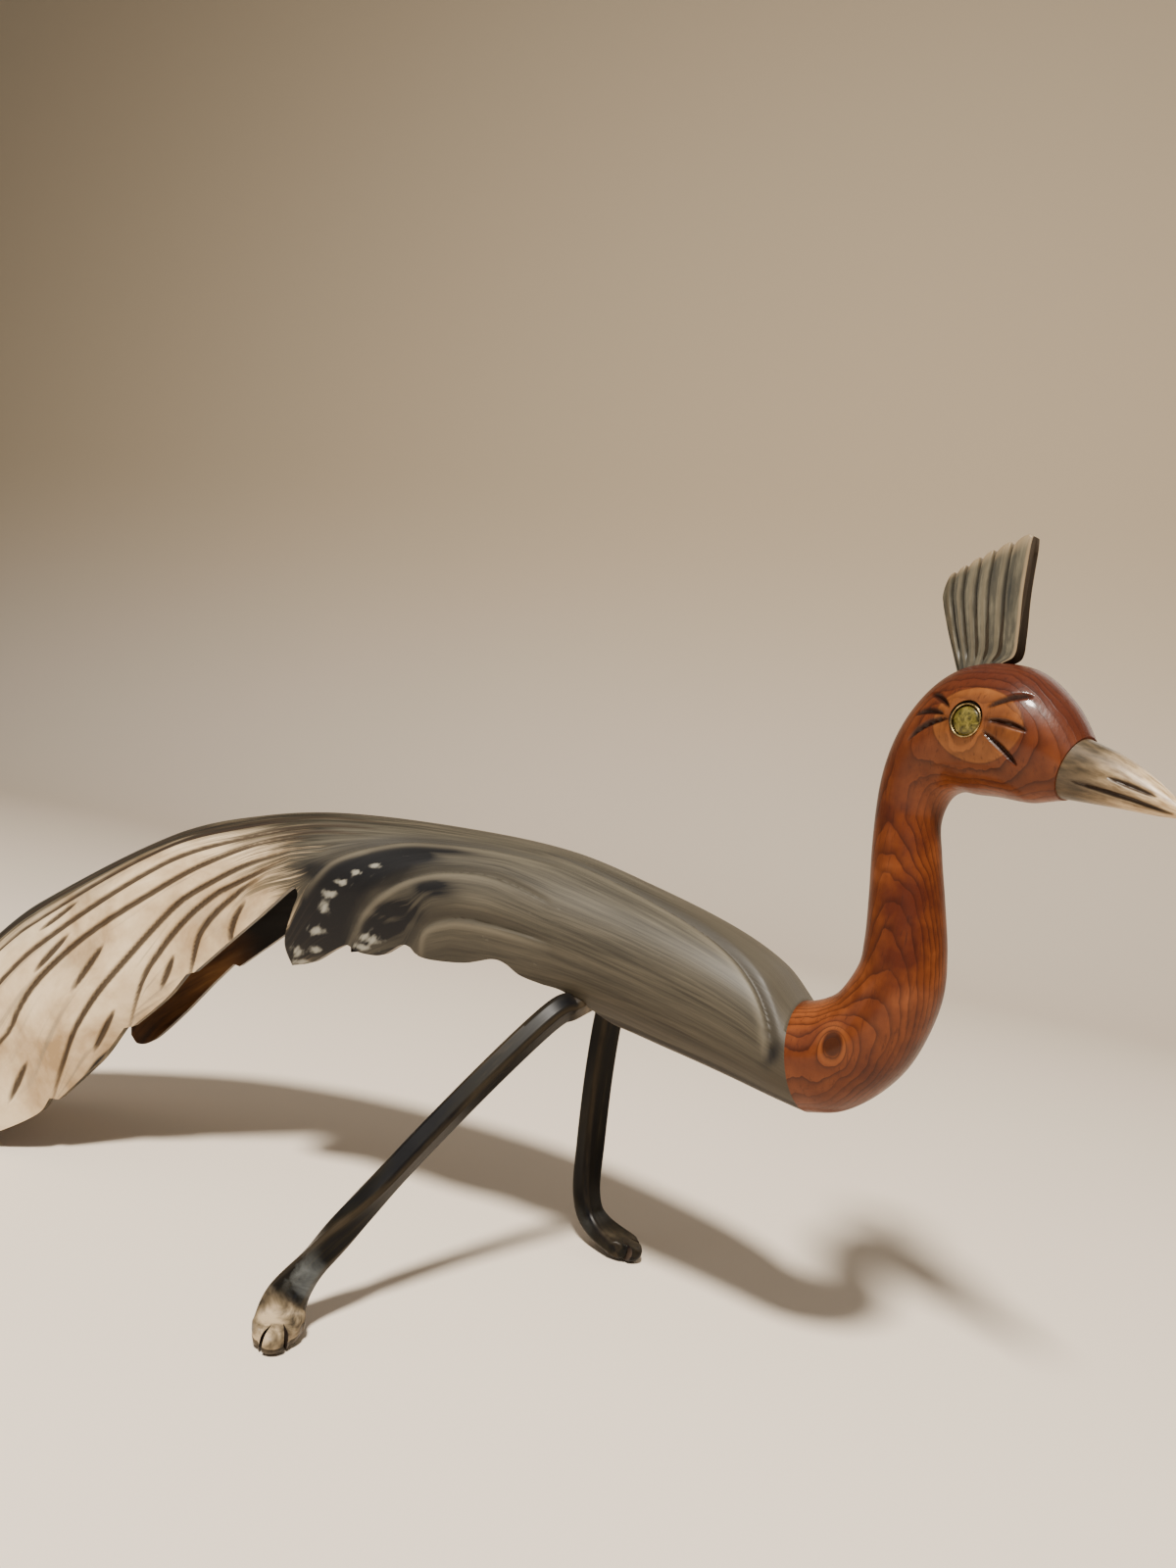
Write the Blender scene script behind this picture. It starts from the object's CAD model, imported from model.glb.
import math

import bpy
import numpy as np
from mathutils import Matrix, Vector


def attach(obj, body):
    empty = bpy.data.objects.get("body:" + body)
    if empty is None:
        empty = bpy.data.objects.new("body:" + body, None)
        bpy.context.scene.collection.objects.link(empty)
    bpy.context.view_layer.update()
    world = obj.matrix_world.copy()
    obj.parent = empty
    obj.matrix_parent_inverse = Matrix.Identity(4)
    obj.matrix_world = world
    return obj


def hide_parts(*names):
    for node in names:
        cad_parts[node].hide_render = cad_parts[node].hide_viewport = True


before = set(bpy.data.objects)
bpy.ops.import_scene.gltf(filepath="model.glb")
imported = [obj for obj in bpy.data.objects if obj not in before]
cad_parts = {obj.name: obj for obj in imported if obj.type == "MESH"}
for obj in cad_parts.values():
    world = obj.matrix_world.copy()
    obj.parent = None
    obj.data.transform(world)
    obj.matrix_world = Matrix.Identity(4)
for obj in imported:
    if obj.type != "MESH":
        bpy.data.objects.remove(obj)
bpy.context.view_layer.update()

# A souvenir peacock carved from one cow horn, with a varnished wooden neck and head. Sizes along the
# figure are in millimetres in its own straight frame: s from tail to beak, y to its left, z up. A sheet
# is rolled round the figure's axis, carved, cut, and only then bent into the pose, in metres.

bl_info = {
    "name": "Carved horn peacock",
    "version": (1, 0, 0),
    "blender": (4, 5, 0),
    "location": "View3D > Sidebar > Peacock",
    "description": "Models the horn and wood figurine round its packed frame",
    "category": "Object",
}

MM = 0.001
BODY = "root"

# The figure's own sizes, the same as those of its solids

BEND_RADIUS = 444.0
HEAD_TURN = 8.0
NECK_AXIS = 137.0
TURN_HEIGHTS = (140.0, 168.0)
MIDDLE = np.array((2.134, 27.985, 0.0))

# Sections of each long piece: place and height on the axis, tilt, half width, reach up and down, squareness

HORN = (
    (-184, -6, 61, 27, 30, 42, 5),
    (-172, 17.2, 56, 27, 30, 42, 5),
    (-151.6, 47.2, 50, 26.5, 29, 42, 5),
    (-140.3, 60.9, 44, 26, 28, 40, 5),
    (-100, 91.7, 33, 25, 26, 38, 4.5),
    (-74.3, 101.8, 20, 24.5, 25, 36, 4),
    (-48.4, 106.5, 8, 25, 25, 34, 3.5),
    (-4.5, 107.8, 1, 26, 26, 30, 3),
    (28.8, 107.3, -6, 25, 25.8, 25, 2.4),
    (55.9, 105, -12, 23, 23.2, 21.5),
    (84.1, 101.1, -14, 20.5, 20.5, 20.5),
    (104.6, 96.8, -6, 17.5, 17.5, 18.5),
    (120, 90.8, 14, 15, 15.1, 15),
)
HOLLOW_END = 80.0
HOLLOW_ROUNDING = 24.0

WING_EDGE = (
    (68, 78), (58, 87.5), (48, 92.7), (40, 93.6), (33, 94.8), (28, 97.4), (23, 97.8), (13.6, 94.7),
    (2, 93.2), (-4, 93.6), (-7, 95.6), (-10.5, 95.4), (-17, 91), (-23, 90), (-27.5, 90.3), (-31, 91.4),
    (-36, 88.6), (-44, 83), (-51.5, 80.5),
)
WING_REAR = ((-51.5, 80.5), (-54.8, 88), (-53.6, 98), (-52.4, 103.8), (-54.4, 106), (-57.5, 103.6))
RIGHT_LOBES = (
    ((-57.5, 103.6), (-66, 94.2), (-76, 83.6), (-87, 71.6)),
    ((-89.6, 70.6), (-95, 62.4), (-101, 55.6), (-107, 49.4)),
    ((-109.6, 48.6), (-116, 37.8), (-123, 28.4), (-129.4, 20.6)),
    ((-132.4, 20.6), (-136, 14.6), (-148, 7), (-163, 0)),
)
LEFT_LOBES = (
    ((-57.5, 103.6), (-66, 94.2), (-78, 82), (-94, 66)),
    ((-96.4, 66.4), (-103.3, 57), (-112, 44), (-121, 32.6), (-127.4, 29.6), (-131, 32)),
    ((-132, 37), (-141, 33), (-154, 22), (-166, 10)),
    ((-168, 11), (-171, 7), (-175, 3), (-178, 0)),
)
TAIL_TIP = (
    ((-178, 0), (-183, 2), (-186, 6)),
    ((-184, 8.5), (-191, 9), (-197, 13)),
    ((-195, 16.5), (-203, 17), (-214, 28)),
)

TAIL_GROOVES = (
    ((-60, 14), (-90, 20), (-120, 24), (-150, 27), (-178, 26)),
    ((-56, 27), (-80, 33), (-110, 38), (-140, 44), (-173, 46)),
    ((-53, 37), (-73, 46), (-101, 55), (-130, 63), (-150, 69), (-177, 76)),
    ((-51, 48), (-69, 54), (-87, 66), (-102, 74), (-128, 80), (-148, 91), (-157, 97), (-179, 96)),
    ((-57, 62), (-72, 71), (-88, 84), (-114, 101), (-133, 113), (-149, 129), (-158, 142)),
    ((-57, 67), (-72, 82), (-97, 100), (-108, 109), (-117, 119), (-129, 143)),
    ((-65, 81), (-76, 92), (-85, 100), (-93, 109), (-98, 120), (-103, 133)),
    ((-73, 96), (-78, 104), (-81, 112), (-82, 119)),
)
TAIL_SLOTS = (
    ((-126, 49), (-138, 55)),
    ((-130, 71), (-143, 82)),
    ((-122, 91), (-137, 103)),
    ((-104, 114), (-113, 129)),
    ((-128, 124), (-141, 140)),
    ((-155, 113), (-164, 121)),
)
RIDGE_LINES = (
    ((-20, 6), (-60, 6), (-100, 7), (-150, 8)),
    ((-26, 22), (-50, 21), (-80, 27), (-104, 31)),
    ((-30, 32), (-48, 33), (-64, 40), (-84, 47)),
    ((-34, 40), (-50, 42), (-66, 49), (-80, 58)),
)
WING_TIERS = (
    ((-52, 95), (-47, 79), (-41, 64), (-30, 51), (-17, 40), (-3, 35.5), (14, 33), (34, 32)),
    ((-30.6, 118), (-28.4, 102), (-22.7, 88), (-14.3, 73), (-4.7, 63), (6, 58), (17, 57), (38, 64)),
    ((-4, 122), (-4.4, 107), (-1.3, 98), (7.7, 91), (18.6, 89), (30, 89), (44, 90)),
)
SHOULDER = ((115.2, 104), (115.6, 90), (112.5, 64), (103, 46), (88, 33), (66, 26), (44, 22), (24, 21))

# Pale spots and dark patches on the wing's rear tiers: where, then how long and how high, in millimetres

PALE_SPOTS = (
    (-24.7, 66, 3.2, 1.1), (-36.4, 82, 3.0, 1.3), (-40.8, 91, 3.4, 1.5), (-41.8, 100, 2.8, 2.6),
    (-44.6, 113, 3.4, 1.6), (-53.0, 127, 2.6, 2.2), (-45.0, 125, 2.6, 1.5), (-51.0, 135, 4.5, 1.3),
    (-23.0, 113, 4.0, 2.2), (-26.0, 119, 4.0, 1.2), (-31.0, 73, 2.4, 0.9),
)
DARK_PATCHES = (
    (-5.0, 42, 11, 2.2), (-3.3, 72, 8, 2.6), (-14.9, 94, 9, 2.6), (-17.0, 52, 12, 2.4), (-28.0, 72, 15, 4.0),
    (-38.0, 92, 11, 5.0), (-42.0, 112, 10, 6.0), (-20.0, 106, 9, 4.0), (-46.0, 76, 8, 4.0),
    (116.0, 93, 1.8, 3.6),
)

WOOD = (
    (120, 90.8, 14, 15, 15.1, 15),
    (126, 92.9, 27.5, 14.8, 15, 15),
    (132.7, 98.1, 45, 13.8, 14, 14),
    (138, 105, 58.7, 12.6, 12.8, 12.8),
    (142, 116.5, 74, 11.3, 11.6, 11.6),
    (141.9, 126.5, 90, 10.6, 10.7, 10.7),
    (140, 139, 97, 9.6, 9.8, 9.8),
    (138, 150.5, 98, 9, 9.1, 9.1),
    (136.8, 160.5, 93, 8.7, 8.6, 8.6),
    (138.2, 170.7, 66, 9.8, 10, 9.8),
    (142.8, 179, 38.3, 11.8, 13, 13),
    (149.6, 183.6, 22.5, 13.2, 16.3, 16.2),
    (157.3, 185.4, 14.5, 13.8, 17.3, 17.3),
    (167.6, 184.9, 6, 13, 16.4, 16.8),
    (174.8, 181.9, -4, 10.4, 12.8, 13),
    (180.4, 177.5, -17.3, 7.6, 8.2, 8.1),
)
EYE_SPOT = (12.0, 89.0)
LASHES = (
    ((10.75, 47), (11.45, 76)),
    ((10.2, 57), (11.25, 81)),
    ((9.75, 76), (11.4, 86)),
    ((12.5, 78), (13.55, 50)),
    ((12.5, 88), (13.7, 85)),
    ((12.4, 97), (13.4, 121)),
)
KNOT_SPOT = (2.03, 87.0)

BILL = (
    (180.4, 177.5, -17.3, 7.1, 7.7, 7.7),
    (189.5, 175.6, -20, 5.7, 6.3, 6.3),
    (196.3, 173.5, -22, 4.4, 4.8, 4.6),
    (202.6, 171.3, -24, 2.7, 3, 2.8),
    (208.4, 169.4, -26, 0.8, 0.9, 0.8),
)
BILL_GROOVES = (
    ((0.3, 114), (1.2, 116), (2.4, 115), (3.6, 118)),
    ((1.15, 84), (2, 79), (2.85, 71)),
)

CREST_BACK = ((146.6, 195), (144.4, 200.5), (141.6, 206.6), (139.2, 212.4), (136.9, 219), (136.6, 223.4))
CREST_FRONT = ((156.2, 196.5), (156.9, 201.6), (160.4, 204.2), (160.6, 210), (159.9, 221), (159.9, 234.4))
CREST_GAPS = (0.0, 0.129, 0.258, 0.417, 0.568, 0.765, 1.0)

LEG_PATHS = {
    "right_leg": (
        (66.5, -7, 95), (62.5, -7.4, 95), (58, -8.4, 94.4), (53.6, -10.8, 92.4), (50, -15.8, 89),
        (45.4, -24.6, 83.4), (26.8, -50.4, 49.8), (11.1, -72.6, 19.4), (7, -79.2, 9.6),
        (8.9, -83.6, 4.3), (14.4, -91, 2.4),
    ),
    "left_leg": (
        (66.5, 7, 95), (62.5, 7.4, 95), (58, 8.4, 94.4), (53.4, 10.7, 92.2), (49.2, 16, 88.6),
        (43.6, 24.2, 82), (41.4, 28.8, 60), (40.8, 33, 34), (41.4, 35.4, 15.4), (47.2, 35.2, 6.8),
        (63.6, 33.4, 2.6),
    ),
}

# The camera's place, view and lens, as the photograph was taken

CAMERA_PLACE = (0.16627, -0.29442, 0.155)
CAMERA_VIEW = (-0.37565, 0.92676, 0.0)
CAMERA_ROLL = 9.5
CAMERA_LENS = 24.95
SUN_FROM = Vector((0.13, -0.55, 0.82)).normalized()


# Sizes and colours that a user would change


def length(name, millimetres, description):
    return bpy.props.FloatProperty(
        name=name, description=description, default=millimetres * MM, unit="LENGTH")


def tone(name, default, description):
    return bpy.props.FloatVectorProperty(
        name=name, description=description, default=default, subtype="COLOR")


class PeacockSizes(bpy.types.PropertyGroup):
    """Walls and carving"""

    horn_wall: length("Horn wall", 3.0, "Thickness of the hollow horn")
    groove_width: length("Groove width", 1.7, "Half width of a tail groove")
    groove_depth: length("Groove depth", 1.1, "Depth of a tail groove")
    tier_width: length("Tier slope", 5.0, "How far a wing tier slopes back")
    tier_depth: length("Tier depth", 1.3, "Height of a wing tier's step")
    lash_width: length("Lash width", 1.15, "Half width of a cut beside the eye")
    lash_depth: length("Lash depth", 1.1, "Depth of a cut beside the eye")
    bill_groove: length("Bill groove", 0.8, "Depth of the lines on the bill")
    eye_width: length("Eye width", 8.6, "Diameter of the brass eye ring")
    eye_wall: length("Eye wall", 0.42, "Wall of the brass eye ring")
    crest_thickness: length("Crest thickness", 4.0, "Thickness of the crest")
    leg_width: length("Leg width", 8.4, "Width of a leg's strip")
    leg_thickness: length("Leg thickness", 6.6, "Thickness of a leg's strip")
    foot_width: length("Foot width", 15.2, "Width of the right foot over its toes")


class PeacockColours(bpy.types.PropertyGroup):
    """Colours of the horn, the wood and the stage"""

    horn_dark: tone("Horn dark", (0.036, 0.032, 0.025), "Darkest streaks of the grey horn")
    horn_grey: tone("Horn grey", (0.062, 0.055, 0.041), "Middle grey of the body")
    horn_light: tone("Horn light", (0.09, 0.079, 0.058), "Light streaks of the body")
    horn_cream: tone("Horn cream", (0.54, 0.405, 0.25), "Ivory colour of the tail")
    horn_tan: tone("Horn tan", (0.29, 0.19, 0.095), "Clouds in the ivory")
    horn_black: tone("Horn black", (0.004, 0.004, 0.005), "Blackest horn")
    horn_amber: tone("Horn amber", (0.095, 0.038, 0.01), "Raw inside of the horn")
    wood_red: tone("Wood red", (0.11, 0.028, 0.0075), "Red-brown of the neck")
    wood_dark: tone("Wood dark", (0.02, 0.005, 0.003), "Dark lines of the grain")
    wood_orange: tone("Wood orange", (0.135, 0.045, 0.012), "Light oval round the eye")
    crest_green: tone("Crest green", (0.053, 0.048, 0.034), "Grey-green of the crest")
    brass: tone("Brass", (0.5, 0.38, 0.18), "Brass of the eye rings")
    olive: tone("Olive", (0.08, 0.066, 0.011), "Olive middle of the eyes")
    floor: tone("Floor", (0.8, 0.7, 0.59), "Pale floor and backdrop")


def own_names(group):
    """The names of a group's own properties."""
    return [name for name in group.bl_rna.properties.keys() if name not in ("rna_type", "name")]


def sizes():
    """The sizes in millimetres, by name."""
    group = bpy.context.scene.peacock_sizes
    return {name: getattr(group, name) / MM for name in own_names(group)}


def colours():
    """The colours, by name."""
    return bpy.context.scene.peacock_colours


# Sections of a long piece, and the curve between them

KEYS = ("at", "s", "z", "tilt", "wide", "up", "down", "square")


class Sweep:
    """Sections along an axis; between them each value follows one smooth curve."""

    def __init__(self, rows, counted=False):
        full = [[i if counted else row[0], *row, *([2.0] * (7 - len(row)))] for i, row in enumerate(rows)]
        self.rows = np.array(full, float)
        count = np.arange(len(rows))
        before = np.maximum(count - 1, 0)
        after = np.minimum(count + 1, len(rows) - 1)
        reach = self.rows[after, :1] - self.rows[before, :1]
        self.slopes = (self.rows[after] - self.rows[before]) / reach

    def section(self, at):
        at = np.asarray(at, float)
        i = np.clip(np.searchsorted(self.rows[:, 0], at) - 1, 0, len(self.rows) - 2)
        a, b = self.rows[i], self.rows[i + 1]
        span = (b[..., 0] - a[..., 0])[..., None]
        t = (at[..., None] - a[..., :1]) / span
        leave = (t ** 3 - 2 * t ** 2 + t) * span * self.slopes[i]
        arrive = (t ** 3 - t ** 2) * span * self.slopes[i + 1]
        values = a + (3 * t ** 2 - 2 * t ** 3) * (b - a) + leave + arrive
        return {key: values[..., k] for k, key in enumerate(KEYS)}

    def place(self, at, angle, inset=0.0, share=1.0):
        """Points at angles from the ridge: 90 is the left flank and 180 the underside."""
        part = self.section(at)
        across, along = np.sin(np.radians(angle)), np.cos(np.radians(angle))
        low = along < 0
        reach = (np.where(low, part["down"], part["up"]) - inset) * share
        power = np.where(low, part["square"], 2.0)
        width = np.maximum(1 - np.abs(along) ** power, 0) ** (1 / power)
        y = (part["wide"] - inset) * share * np.sign(across) * np.where(low, width, np.abs(across))
        tilt = np.radians(part["tilt"])
        s = part["s"] - reach * along * np.sin(tilt)
        z = part["z"] + reach * along * np.cos(tilt)
        return np.stack((s, y, z), axis=-1)

    def facing(self, at, angle):
        """Unit normals that point out of the surface."""
        at, angle = np.broadcast_arrays(np.asarray(at, float), np.asarray(angle, float))
        low, high = self.rows[0, 0], self.rows[-1, 0]
        ahead = self.place(np.minimum(at + 0.01, high), angle)
        behind = self.place(np.maximum(at - 0.01, low), angle)
        round_about = self.place(at, angle + 0.5) - self.place(at, angle - 0.5)
        out = np.cross(ahead - behind, round_about)
        out /= np.maximum(np.linalg.norm(out, axis=-1, keepdims=True), 1e-12)
        part = self.section(at)
        middle = np.stack((part["s"], np.zeros_like(part["s"]), part["z"]), axis=-1)
        inward = np.sum(out * (self.place(at, angle) - middle), axis=-1, keepdims=True) < 0
        return np.where(inward, -out, out)


def smoothstep(value, low, high):
    t = np.clip((value - low) / (high - low), 0, 1)
    return t * t * (3 - 2 * t)


def through(points, count):
    """A smooth curve through points, in even steps of its own count."""
    points = np.asarray(points, float)
    padded = np.vstack((2 * points[0] - points[1], points, 2 * points[-1] - points[-2]))
    places = np.linspace(0, len(points) - 1, count)
    i = np.minimum(places.astype(int), len(points) - 2)
    t = (places - i)[:, None]
    a, b, c, d = (padded[i + k] for k in range(4))
    return 0.5 * (2 * b + (c - a) * t + (2 * a - 5 * b + 4 * c - d) * t ** 2
                  + (3 * b - a - 3 * c + d) * t ** 3)


def posed(points):
    """Points of the straight figure, in millimetres, as they stand in the pose, in metres."""
    s, y, z = np.asarray(points, float).T
    turn = np.radians(-HEAD_TURN) * smoothstep(z, *TURN_HEIGHTS)
    reach = s - NECK_AXIS
    heading = (NECK_AXIS + reach * np.cos(turn) - y * np.sin(turn)) / BEND_RADIUS
    radius = BEND_RADIUS + reach * np.sin(turn) + y * np.cos(turn)
    flat = np.stack((radius * np.sin(heading), radius * np.cos(heading) - BEND_RADIUS, z), axis=-1)
    return (flat + MIDDLE) * MM


# Carving: how far a surface is cut back beside lines drawn on it


class Track:
    """A line on a sweep's surface, seen from the points beside it."""

    def __init__(self, sweep, line, side, count=40):
        course = through(line, count)
        self.places = sweep.place(course[:, 0], course[:, 1] * side)
        t = np.linspace(0, 1, count)
        self.shares = np.clip(np.sin(np.pi * t), 0, 1) ** 0.5
        self.side = side

    def beside(self, points, out, reach):
        """Which points are near, how far ahead of the line they lie, and the line's share there."""
        low, high = self.places.min(0) - reach, self.places.max(0) + reach
        near = np.nonzero(np.all((points > low) & (points < high), axis=1))[0]
        spots, normals = points[near], out[near]
        best = np.full(len(near), 1e9)
        signed, share = np.full(len(near), 1e9), np.zeros(len(near))
        for i in range(len(self.places) - 1):
            way = self.places[i + 1] - self.places[i]
            t = np.clip((spots - self.places[i]) @ way / max(way @ way, 1e-9), 0, 1)
            off = spots - self.places[i] - t[:, None] * way
            distance = np.linalg.norm(off, axis=1)
            closer = distance < best
            ahead = np.sum(off * np.cross(normals, way), axis=1) * self.side
            best = np.where(closer, distance, best)
            signed = np.where(closer, np.where(ahead < 0, -distance, distance), signed)
            here = self.shares[i] + t * (self.shares[i + 1] - self.shares[i])
            share = np.where(closer, here, share)
        return near, signed, share


def engrave(sweep, points, out, lines, ahead, behind, depth, round_bottom=True):
    """Depths and masks that carve lines on both sides of a surface."""
    cut, mask = np.zeros(len(points)), np.zeros(len(points))
    for line in lines:
        for side in (-1, 1):
            near, signed, share = Track(sweep, line, side).beside(points, out, max(ahead, behind) + 1)
            width = np.where(signed > 0, ahead, behind) * np.maximum(share, 0.35)
            profile = np.clip(1 - np.abs(signed) / width, 0, 1)
            profile = profile * profile * (3 - 2 * profile) if round_bottom else profile ** 1.3
            cut[near] = np.maximum(cut[near], depth * share * profile)
            mask[near] = np.maximum(mask[near], np.minimum(share * 1.4, 1) * np.clip(2.2 * profile, 0, 1))
    return cut, mask


# Making and finishing meshes


def deselect():
    bpy.ops.object.select_all(action="DESELECT")


def only(piece):
    """Selects one piece and makes it the active one."""
    deselect()
    piece.select_set(True)
    bpy.context.view_layer.objects.active = piece


def flat_sheet(name, rows, columns):
    """A flat grid of one unit, and the share along its rows and columns of each vertex."""
    deselect()
    bpy.ops.mesh.primitive_grid_add(x_subdivisions=rows, y_subdivisions=columns, size=1.0)
    piece = bpy.context.object
    piece.name = name
    piece.data.uv_layers.remove(piece.data.uv_layers[0])
    corners = corners_of(piece)
    return piece, corners[:, 0] + 0.5, corners[:, 1] + 0.5


def corners_of(piece):
    corners = np.zeros(len(piece.data.vertices) * 3)
    piece.data.vertices.foreach_get("co", corners)
    return corners.reshape(-1, 3)


def put_corners(piece, corners):
    piece.data.vertices.foreach_set("co", np.ascontiguousarray(corners, np.float32).ravel())
    piece.data.update()


def paint(piece, name, first, second):
    """Writes two values of each vertex as a UV map, which cuts and merges keep."""
    layer = piece.data.uv_layers.get(name) or piece.data.uv_layers.new(name=name)
    used = np.zeros(len(piece.data.loops), int)
    piece.data.loops.foreach_get("vertex_index", used)
    pairs = np.stack((np.asarray(first)[used], np.asarray(second)[used]), axis=-1)
    layer.data.foreach_set("uv", pairs.astype(np.float32).ravel())


def start_editing():
    """Goes into edit mode with the whole mesh selected."""
    bpy.ops.object.mode_set(mode="EDIT")
    bpy.ops.mesh.select_all(action="SELECT")


def stop_editing():
    """Turns every face outwards and leaves edit mode."""
    bpy.ops.mesh.select_all(action="SELECT")
    bpy.ops.mesh.normals_make_consistent(inside=False)
    bpy.ops.object.mode_set(mode="OBJECT")


def modify(piece, kind, **settings):
    """Adds a modifier with its settings and applies it."""
    only(piece)
    modifier = piece.modifiers.new(kind.lower(), kind)
    for key, setting in settings.items():
        setattr(modifier, key, setting)
    bpy.ops.object.modifier_apply(modifier=modifier.name)


def close_up(piece):
    """Merges the seam of a rolled sheet, closes its ends and turns its faces outwards."""
    only(piece)
    start_editing()
    bpy.ops.mesh.select_mode(type="VERT")
    bpy.ops.mesh.select_all(action="SELECT")
    bpy.ops.mesh.remove_doubles(threshold=2e-4)
    bpy.ops.mesh.select_all(action="DESELECT")
    bpy.ops.mesh.select_non_manifold(extend=False, use_wire=False, use_multi_face=False,
                                     use_non_contiguous=False, use_verts=False)
    bpy.ops.mesh.fill_holes(sides=0)
    stop_editing()


def cut_away(piece, cutter):
    """Subtracts a closed cutter, whose material lines the cut, and removes it."""
    modify(piece, "BOOLEAN", operation="DIFFERENCE", solver="EXACT", material_mode="TRANSFER", object=cutter)
    bpy.data.objects.remove(cutter)


def prism(name, outline, pull, material):
    """A flat outline of corners in space, pulled into a closed block."""
    mesh = bpy.data.meshes.new(name)
    mesh.from_pydata([tuple(corner) for corner in outline], [], [range(len(outline))])
    mesh.materials.append(material)
    piece = bpy.data.objects.new(name, mesh)
    bpy.context.scene.collection.objects.link(piece)
    only(piece)
    start_editing()
    bpy.ops.mesh.extrude_region_move(TRANSFORM_OT_translate={"value": tuple(pull)})
    stop_editing()
    return piece


def take_pose(piece):
    put_corners(piece, posed(corners_of(piece)))


def finish_piece(piece, materials, node, sharp=35.0):
    """Dresses a piece, smooths its shading and ties it to the part."""
    if not piece.data.materials:
        for material in materials:
            piece.data.materials.append(material)
    only(piece)
    bpy.ops.object.shade_smooth_by_angle(angle=math.radians(sharp))
    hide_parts(node)
    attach(piece, BODY)
    return piece


# Materials: an expression on values adds its nodes


class Value:
    """A socket whose operators add Math nodes."""

    def __init__(self, finish, socket):
        self.finish, self.socket = finish, socket

    def math(self, operation, *others, clamp=False):
        made = {0: self, **{i + 1: other for i, other in enumerate(others)}}
        return self.finish.add("ShaderNodeMath", {"operation": operation, "use_clamp": clamp}, made)

    def __add__(self, other):
        return self.math("ADD", other)

    def __radd__(self, other):
        return self.math("ADD", other)

    def __sub__(self, other):
        return self.math("SUBTRACT", other)

    def __rsub__(self, other):
        return self.math("MULTIPLY", -1.0).math("ADD", other)

    def __mul__(self, other):
        return self.math("MULTIPLY", other)

    def __rmul__(self, other):
        return self.math("MULTIPLY", other)

    def __truediv__(self, other):
        return self.math("DIVIDE", other)

    def __pow__(self, other):
        return self.math("POWER", other)

    def absolute(self):
        return self.math("ABSOLUTE")

    def clamped(self):
        return self.math("ADD", 0.0, clamp=True)

    def rise(self, low, high):
        """0 below low and 1 above high, smooth between; it falls where low is above high."""
        settings = {"interpolation_type": "SMOOTHSTEP", "clamp": True}
        if low > high:
            return 1 - self.rise(high, low)
        return self.finish.add("ShaderNodeMapRange", settings, {0: self, 1: low, 2: high, 3: 0.0, 4: 1.0})


def set_stops(ramp, stops):
    """Gives a colour ramp its stops of place and colour."""
    for extra in range(len(stops) - 2):
        ramp.elements.new(0.5)
    for element, (place, colour) in zip(ramp.elements, stops):
        element.position = place
        element.color = (*colour, 1.0)


class Finish:
    """A node-based material."""

    def __init__(self, name):
        self.material = bpy.data.materials.new(name)
        self.material.use_nodes = True
        self.tree = self.material.node_tree
        self.surface = self.tree.nodes["Principled BSDF"]

    def join(self, socket, value):
        """Links a value to a socket, or sets a plain number or colour on it."""
        if isinstance(value, Value):
            self.tree.links.new(value.socket, socket)
        else:
            socket.default_value = value

    def add(self, kind, settings=None, values=None, output=0):
        """One node: its settings, with a ramp's stops, then the values or links of its sockets."""
        node = self.tree.nodes.new(kind)
        for key, setting in (settings or {}).items():
            if key == "stops":
                set_stops(node.color_ramp, setting)
            else:
                setattr(node, key, setting)
        for key, value in (values or {}).items():
            self.join(node.inputs[key], value)
        if output == "all":
            return [Value(self, socket) for socket in node.outputs]
        return Value(self, node.outputs[output])

    def spot(self):
        return self.add("ShaderNodeTexCoord", output=3)

    def parts(self, vector):
        return self.add("ShaderNodeSeparateXYZ", None, {0: vector}, "all")

    def painted(self, name):
        """The two values of a painted map."""
        return self.parts(self.add("ShaderNodeUVMap", {"uv_map": name}))[:2]

    def joined(self, x, y, z=0.0):
        return self.add("ShaderNodeCombineXYZ", None, {0: x, 1: y, 2: z})

    def noise(self, vector, scale, detail=4.0, roughness=0.55, distortion=0.0):
        values = {"Vector": vector, "Scale": scale, "Detail": detail, "Roughness": roughness,
                  "Distortion": distortion}
        return self.add("ShaderNodeTexNoise", {"noise_dimensions": "3D"}, values)

    def ramp(self, value, *stops):
        """A colour ramp from stops of place and colour."""
        return self.add("ShaderNodeValToRGB", {"stops": stops}, {0: value})

    def mix(self, factor, first, second, blend="MIX"):
        """The first colour where the factor is 0, and the second where it is 1."""
        settings = {"data_type": "RGBA", "blend_type": blend, "clamp_factor": True}
        first = first if isinstance(first, Value) else (*first, 1.0)
        second = second if isinstance(second, Value) else (*second, 1.0)
        return self.add("ShaderNodeMix", settings, {0: factor, 6: first, 7: second}, output=2)

    def coats(self, colour, *coats):
        """Lays coats, each a mask and a colour, over a colour in order."""
        for mask, coat in coats:
            colour = self.mix(mask, colour, coat)
        return colour

    def bump(self, height, strength, distance):
        values = {"Strength": strength, "Distance": distance, "Height": height}
        return self.add("ShaderNodeBump", None, values)

    def done(self, colour, roughness, normal=None, **plain):
        """Joins colour, roughness and normal to the surface; the rest are plain numbers."""
        values = {"Base Color": colour, "Roughness": roughness}
        if normal:
            values["Normal"] = normal
        for key, number in plain.items():
            values[key.replace("_", " ").title().replace("Ior", "IOR")] = number
        for key, value in values.items():
            self.join(self.surface.inputs[key], value)
        return self.material


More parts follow.
